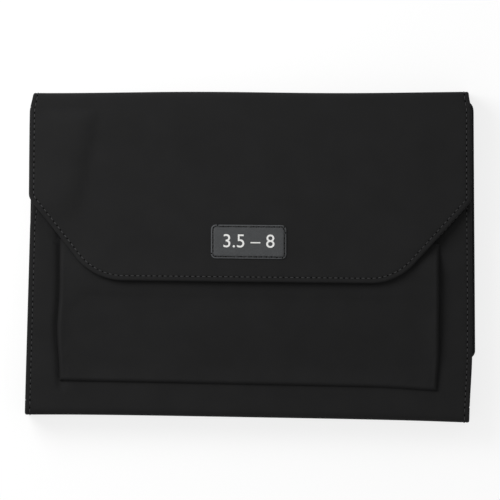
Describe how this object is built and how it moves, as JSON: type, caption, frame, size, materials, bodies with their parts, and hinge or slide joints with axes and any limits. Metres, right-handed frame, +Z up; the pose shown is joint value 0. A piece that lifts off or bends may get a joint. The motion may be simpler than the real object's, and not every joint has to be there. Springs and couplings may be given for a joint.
{
  "type": "interchangeable needle set",
  "caption": "Soft fold-over case with a slanted-corner flap, front pocket and zipped pocket, holding pairs of screw-on wooden knitting needle tips in sewn slots.",
  "frame": {"origin": "centre of the closed case's underside, with the case lying on its back", "axes": "+X along the folds to the right, +Y up the case to the flap's fold, +Z up through the layers"},
  "size_m": [0.2434, 0.1774, 0.0282],
  "materials": {
    "case_cloth": "matte black smooth woven nylon with tonal topstitching",
    "lining_cloth": "matte charcoal lining cloth",
    "binding_tape": "black grosgrain tape",
    "elastic": "black ribbed elastic",
    "label_leather": "dark grey grained faux leather, stitched edge",
    "magnet_steel": "nickel plated",
    "zip_metal": "black enamel",
    "needle_wood": "polished pale hardwood",
    "ferrule_steel": "satin steel",
    "cap_plastic": "black moulded plastic"
  },
  "bodies": {
    "back": {"back_panel": "case_cloth", "back_fold_strips": "case_cloth", "needle_page": "lining_cloth", "slot_panel": "lining_cloth", "slot_binding": "binding_tape", "size_strip": "binding_tape", "elastic_band": "elastic", "end_caps": "cap_plastic", "connectors": "ferrule_steel", "cable_keys": "ferrule_steel"},
    "top_spine": {"top_spine": "case_cloth"},
    "flap_upper": {"flap_upper": "case_cloth", "flap_fold_strips": "case_cloth"},
    "flap_lower": {"flap_lower": "case_cloth", "flap_magnets": "magnet_steel", "label_patch": "label_leather"},
    "bottom_spine": {"bottom_spine": "case_cloth", "front_fold_strip": "case_cloth"},
    "front": {"front_panel": "case_cloth", "front_pocket": "case_cloth", "pocket_magnets": "magnet_steel", "zip_pocket": "lining_cloth", "zip_tape": "binding_tape", "zip_teeth": "zip_metal"},
    "zip_slider": {"zip_slider": "zip_metal"},
    "zip_puller": {"zip_puller": "zip_metal"},
    "needle_3_5mm_left": {"shaft_3_5mm_left": "needle_wood", "ferrule_3_5mm_left": "ferrule_steel"},
    "needle_3_5mm_right": {"shaft_3_5mm_right": "needle_wood", "ferrule_3_5mm_right": "ferrule_steel"},
    "needle_4_0mm_left": {"shaft_4_0mm_left": "needle_wood", "ferrule_4_0mm_left": "ferrule_steel"},
    "needle_4_0mm_right": {"shaft_4_0mm_right": "needle_wood", "ferrule_4_0mm_right": "ferrule_steel"},
    "needle_4_5mm_left": {"shaft_4_5mm_left": "needle_wood", "ferrule_4_5mm_left": "ferrule_steel"},
    "needle_4_5mm_right": {"shaft_4_5mm_right": "needle_wood", "ferrule_4_5mm_right": "ferrule_steel"},
    "needle_5_0mm_left": {"shaft_5_0mm_left": "needle_wood", "ferrule_5_0mm_left": "ferrule_steel"},
    "needle_5_0mm_right": {"shaft_5_0mm_right": "needle_wood", "ferrule_5_0mm_right": "ferrule_steel"},
    "needle_5_5mm_left": {"shaft_5_5mm_left": "needle_wood", "ferrule_5_5mm_left": "ferrule_steel"},
    "needle_5_5mm_right": {"shaft_5_5mm_right": "needle_wood", "ferrule_5_5mm_right": "ferrule_steel"},
    "needle_6_0mm_left": {"shaft_6_0mm_left": "needle_wood", "ferrule_6_0mm_left": "ferrule_steel"},
    "needle_6_0mm_right": {"shaft_6_0mm_right": "needle_wood", "ferrule_6_0mm_right": "ferrule_steel"},
    "needle_7_0mm_left": {"shaft_7_0mm_left": "needle_wood", "ferrule_7_0mm_left": "ferrule_steel"},
    "needle_7_0mm_right": {"shaft_7_0mm_right": "needle_wood", "ferrule_7_0mm_right": "ferrule_steel"},
    "needle_8_0mm_left": {"shaft_8_0mm_left": "needle_wood", "ferrule_8_0mm_left": "ferrule_steel"},
    "needle_8_0mm_right": {"shaft_8_0mm_right": "needle_wood", "ferrule_8_0mm_right": "ferrule_steel"}
  },
  "joints": [
    {"name": "front_fold", "type": "hinge", "parent": "bottom_spine", "child": "front", "pos_m": [0, -0.0877, 0.0194], "axis": [1, 0, 0], "range_deg": [0, 104.4]},
    {"name": "bottom_spine_fold", "type": "hinge", "parent": "back", "child": "bottom_spine", "pos_m": [0, -0.0877, 0.0012], "axis": [1, 0, 0], "range_deg": [0, 75.61]},
    {"name": "top_spine_fold", "type": "hinge", "parent": "back", "child": "top_spine", "pos_m": [0, 0.0877, 0.0012], "axis": [-1, 0, 0], "range_deg": [0, 90.01]},
    {"name": "flap_fold", "type": "hinge", "parent": "top_spine", "child": "flap_upper", "pos_m": [0, 0.0877, 0.0206], "axis": [-1, 0, 0], "range_deg": [0, 85.61]},
    {"name": "flap_lift", "type": "hinge", "parent": "flap_upper", "child": "flap_lower", "pos_m": [0, 0.036, 0.02384], "axis": [1, 0, 0], "range_deg": [-95, 0]},
    {"name": "zip_slide", "type": "slide", "parent": "front", "child": "zip_slider", "axis": [-1, 0, 0], "range_m": [0, 0.185]},
    {"name": "zip_puller_swing", "type": "hinge", "parent": "zip_slider", "child": "zip_puller", "pos_m": [0.09225, 0.00515, 0.0161], "axis": [0, 0, -1], "range_deg": [0, 95]},
    {"name": "needle_3_5mm_left_slide", "type": "slide", "parent": "back", "child": "needle_3_5mm_left", "axis": [0, 1, 0], "range_m": [0, 0.033]},
    {"name": "needle_3_5mm_right_slide", "type": "slide", "parent": "back", "child": "needle_3_5mm_right", "axis": [0, 1, 0], "range_m": [0, 0.033]},
    {"name": "needle_4_0mm_left_slide", "type": "slide", "parent": "back", "child": "needle_4_0mm_left", "axis": [0, 1, 0], "range_m": [0, 0.033]},
    {"name": "needle_4_0mm_right_slide", "type": "slide", "parent": "back", "child": "needle_4_0mm_right", "axis": [0, 1, 0], "range_m": [0, 0.033]},
    {"name": "needle_4_5mm_left_slide", "type": "slide", "parent": "back", "child": "needle_4_5mm_left", "axis": [0, 1, 0], "range_m": [0, 0.033]},
    {"name": "needle_4_5mm_right_slide", "type": "slide", "parent": "back", "child": "needle_4_5mm_right", "axis": [0, 1, 0], "range_m": [0, 0.033]},
    {"name": "needle_5_0mm_left_slide", "type": "slide", "parent": "back", "child": "needle_5_0mm_left", "axis": [0, 1, 0], "range_m": [0, 0.033]},
    {"name": "needle_5_0mm_right_slide", "type": "slide", "parent": "back", "child": "needle_5_0mm_right", "axis": [0, 1, 0], "range_m": [0, 0.033]},
    {"name": "needle_5_5mm_left_slide", "type": "slide", "parent": "back", "child": "needle_5_5mm_left", "axis": [0, 1, 0], "range_m": [0, 0.033]},
    {"name": "needle_5_5mm_right_slide", "type": "slide", "parent": "back", "child": "needle_5_5mm_right", "axis": [0, 1, 0], "range_m": [0, 0.033]},
    {"name": "needle_6_0mm_left_slide", "type": "slide", "parent": "back", "child": "needle_6_0mm_left", "axis": [0, 1, 0], "range_m": [0, 0.033]},
    {"name": "needle_6_0mm_right_slide", "type": "slide", "parent": "back", "child": "needle_6_0mm_right", "axis": [0, 1, 0], "range_m": [0, 0.033]},
    {"name": "needle_7_0mm_left_slide", "type": "slide", "parent": "back", "child": "needle_7_0mm_left", "axis": [0, 1, 0], "range_m": [0, 0.033]},
    {"name": "needle_7_0mm_right_slide", "type": "slide", "parent": "back", "child": "needle_7_0mm_right", "axis": [0, 1, 0], "range_m": [0, 0.033]},
    {"name": "needle_8_0mm_left_slide", "type": "slide", "parent": "back", "child": "needle_8_0mm_left", "axis": [0, 1, 0], "range_m": [0, 0.033]},
    {"name": "needle_8_0mm_right_slide", "type": "slide", "parent": "back", "child": "needle_8_0mm_right", "axis": [0, 1, 0], "range_m": [0, 0.033]}
  ],
  "couplings": [
    {"joint": "bottom_spine_fold", "follows": "front_fold", "ratio": 0.72414},
    {"joint": "top_spine_fold", "follows": "front_fold", "ratio": 0.86207},
    {"joint": "flap_fold", "follows": "front_fold", "ratio": 0.81992}
  ]
}
